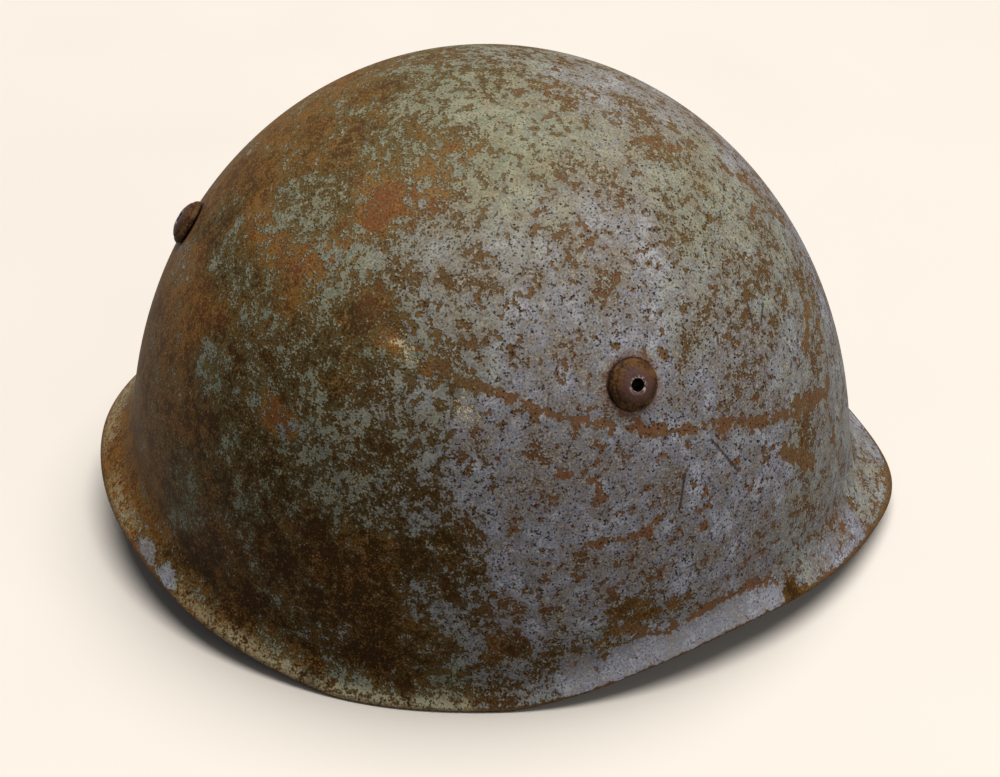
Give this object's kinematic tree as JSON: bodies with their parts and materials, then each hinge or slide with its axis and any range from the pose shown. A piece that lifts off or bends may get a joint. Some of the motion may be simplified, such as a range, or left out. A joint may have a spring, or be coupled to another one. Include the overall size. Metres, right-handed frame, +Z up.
{
  "type": "military steel helmet",
  "caption": "Pressed steel combat helmet shell with a short visor, a turned-out rim and hollow vent rivets, in worn blue-grey paint over brown rust, resting on its rim.",
  "frame": {"origin": "on the table that the rim rests on, under the middle of the helmet's length and width", "axes": "+Z up through the crown, -Y towards the front (the visor), +X towards the wearer's left"},
  "size_m": [0.2396, 0.2841, 0.1623],
  "materials": {
    "shell_paint": "worn matt blue-grey paint, pitted and flaked down to brown rust, more rust towards the rear",
    "rivet_steel": "bare brown rusted steel, worn brighter round the vent hole"
  },
  "bodies": {
    "root": {"shell": "shell_paint", "rivet_right": "rivet_steel", "rivet_left": "rivet_steel", "rivet_rear": "rivet_steel"}
  },
  "joints": []
}
